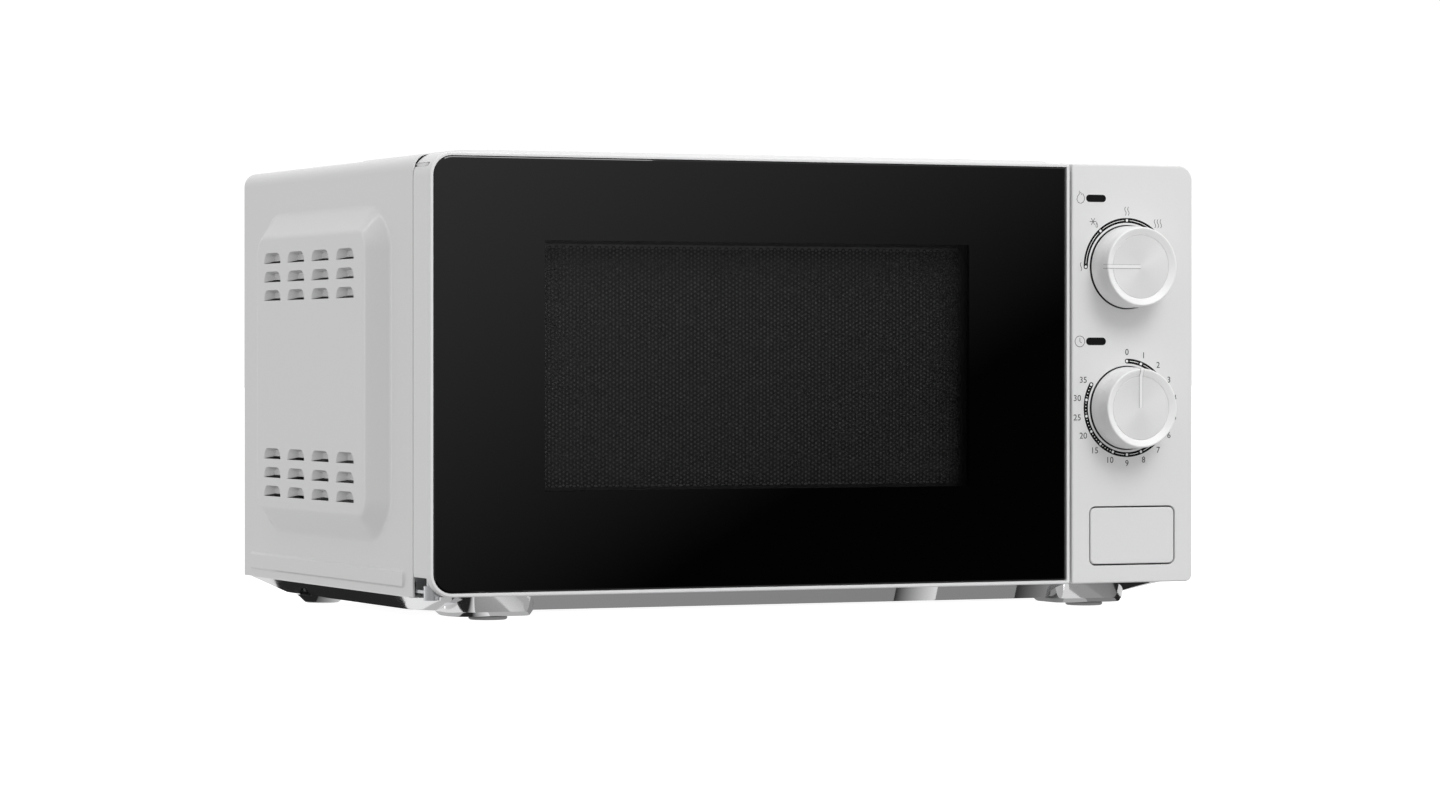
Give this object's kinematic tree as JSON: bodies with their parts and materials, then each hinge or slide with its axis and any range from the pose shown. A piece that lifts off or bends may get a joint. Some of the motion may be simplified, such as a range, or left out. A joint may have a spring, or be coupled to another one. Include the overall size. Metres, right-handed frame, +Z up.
{
  "type": "microwave oven",
  "caption": "Compact countertop microwave oven with a side-hinged glass door, turntable, two dials and a push-button door release.",
  "frame": {"origin": "middle of the bounding box's footprint, on the surface the oven stands on", "axes": "+X to the right seen from the front, +Y to the back, +Z up"},
  "size_m": [0.455, 0.3134, 0.2423],
  "materials": {
    "cover_paint": "satin white stove enamel on steel",
    "base_metal": "bright pressed steel",
    "zinc_sheet": "zinc-plated sheet",
    "cavity_enamel": "grey-white cavity enamel",
    "panel_plastic": "fine matt white moulding",
    "bezel_plastic": "satin light grey moulding",
    "dial_plastic": "satin white moulding",
    "dial_metal": "spun bright face",
    "white_plastic": "unpainted white moulding",
    "black_plastic": "black moulding",
    "foot_plastic": "grey moulding",
    "grommet_rubber": "soft black",
    "door_glass": "black tinted glass",
    "window_sheet": "clear sheet",
    "screen_paint": "black enamel on perforated steel",
    "tray_glass": "clear heat-proof glass",
    "mica": "mica sheet",
    "copper": "enamelled copper wire",
    "bell_brass": "bell metal",
    "core_steel": "varnished laminations",
    "aluminium": "pressed fins",
    "ceramic": "glazed ceramic",
    "board_green": "circuit board",
    "spring_steel": "spring wire",
    "lamp_glass": "clear lamp bulb",
    "signal_red": "red plunger plastic"
  },
  "bodies": {
    "cabinet": {"outer_cover": "cover_paint", "base_pan": "base_metal", "front_feet": "foot_plastic", "back_panel": "zinc_sheet", "casing_screws": "zinc_sheet", "front_frame": "zinc_sheet", "cavity": "cavity_enamel", "waveguide": "zinc_sheet", "feed_cover": "mica", "magnetron_yoke": "zinc_sheet", "magnetron_fins": "aluminium", "magnetron_antenna": "copper", "magnetron_filter": "zinc_sheet", "transformer_core": "core_steel", "transformer_windings": "copper", "hv_capacitor": "zinc_sheet", "capacitor_clamp": "zinc_sheet", "hv_diode": "black_plastic", "fan_shroud": "white_plastic", "fan_motor": "core_steel", "air_duct": "white_plastic", "oven_lamp": "lamp_glass", "lamp_holder": "ceramic", "turntable_motor": "zinc_sheet", "thermal_cutouts": "ceramic", "filter_board": "board_green", "cord_grommet": "grommet_rubber", "chassis_screws": "zinc_sheet", "control_panel": "panel_plastic", "timer_unit": "zinc_sheet", "timer_bell": "bell_brass", "button_spring": "spring_steel", "latch_housing": "white_plastic", "interlock_switches": "black_plastic", "lower_hinge": "zinc_sheet", "upper_hinge": "zinc_sheet"},
    "door": {"door_frame": "bezel_plastic", "door_glass": "door_glass", "door_screen": "screen_paint", "inner_window": "window_sheet", "choke_cover": "bezel_plastic", "latch_spring": "spring_steel"},
    "latch": {"latch_hooks": "white_plastic"},
    "button": {"release_button": "panel_plastic"},
    "lever": {"release_lever": "white_plastic"},
    "plungers": {"switch_plungers": "signal_red"},
    "timer": {"timer_shaft": "zinc_sheet", "timer_knob": "dial_plastic", "timer_cap": "dial_metal"},
    "power": {"power_shaft": "zinc_sheet", "power_knob": "dial_plastic", "power_cap": "dial_metal"},
    "coupler": {"turntable_coupler": "white_plastic"},
    "tray": {"glass_tray": "tray_glass"},
    "ring": {"roller_ring": "white_plastic"},
    "roller_a": {"roller_1": "white_plastic"},
    "roller_b": {"roller_2": "white_plastic"},
    "roller_c": {"roller_3": "white_plastic"},
    "fan": {"fan_blade": "white_plastic"}
  },
  "joints": [
    {"name": "door_hinge", "type": "hinge", "parent": "cabinet", "child": "door", "pos_m": [-0.215, -0.12855, 0.126], "axis": [0, 0, -1], "range_deg": [0, 100]},
    {"name": "latch_lift", "type": "slide", "parent": "door", "child": "latch", "axis": [0, 0, 1], "range_m": [0, 0.003], "stiffness_N_per_m": 300, "springref_m": -0.002, "deforming": ["latch_spring"]},
    {"name": "button_press", "type": "slide", "parent": "cabinet", "child": "button", "axis": [0, 1, 0], "range_m": [0, 0.005], "stiffness_N_per_m": 400, "springref_m": -0.003, "deforming": ["button_spring"]},
    {"name": "lever_swing", "type": "hinge", "parent": "cabinet", "child": "lever", "pos_m": [0.166, -0.10855, 0.0465], "axis": [1, 0, 0], "range_deg": [0, 24.1]},
    {"name": "plunger_press", "type": "slide", "parent": "cabinet", "child": "plungers", "axis": [0, 1, 0], "range_m": [0, 0.001], "stiffness_N_per_m": 500, "springref_m": -0.001},
    {"name": "timer_turn", "type": "hinge", "parent": "cabinet", "child": "timer", "pos_m": [0.1796, -0.13955, 0.1076], "axis": [0, 1, 0], "range_deg": [0, 300]},
    {"name": "power_turn", "type": "hinge", "parent": "cabinet", "child": "power", "pos_m": [0.1796, -0.13955, 0.1833], "axis": [0, 1, 0], "range_deg": [0, 180]},
    {"name": "coupler_spin", "type": "hinge", "parent": "cabinet", "child": "coupler", "pos_m": [-0.037, 0.01725, 0.036], "axis": [0, 0, 1], "continuous": true},
    {"name": "tray_lift", "type": "slide", "parent": "coupler", "child": "tray", "axis": [0, 0, 1], "range_m": [0, 0.03]},
    {"name": "ring_roll", "type": "hinge", "parent": "cabinet", "child": "ring", "pos_m": [-0.037, 0.01725, 0.0438], "axis": [0, 0, 1], "continuous": true},
    {"name": "roller_a_spin", "type": "hinge", "parent": "ring", "child": "roller_a", "pos_m": [-0.037, 0.11625, 0.0438], "axis": [0, 1, 0], "continuous": true},
    {"name": "roller_b_spin", "type": "hinge", "parent": "ring", "child": "roller_b", "pos_m": [-0.12274, -0.03225, 0.0438], "axis": [-0.866, -0.5, 0], "continuous": true},
    {"name": "roller_c_spin", "type": "hinge", "parent": "ring", "child": "roller_c", "pos_m": [0.04874, -0.03225, 0.0438], "axis": [0.866, -0.5, 0], "continuous": true},
    {"name": "fan_spin", "type": "hinge", "parent": "cabinet", "child": "fan", "pos_m": [0.1665, 0.12985, 0.1555], "axis": [0, 1, 0], "continuous": true}
  ],
  "couplings": [
    {"joint": "lever_swing", "follows": "button_press", "rad_per_m": 84},
    {"joint": "latch_lift", "follows": "button_press", "ratio": 0.6},
    {"joint": "ring_roll", "follows": "coupler_spin", "ratio": 0.5},
    {"joint": "roller_a_spin", "follows": "coupler_spin", "ratio": -6.6},
    {"joint": "roller_b_spin", "follows": "coupler_spin", "ratio": -6.6},
    {"joint": "roller_c_spin", "follows": "coupler_spin", "ratio": -6.6}
  ]
}
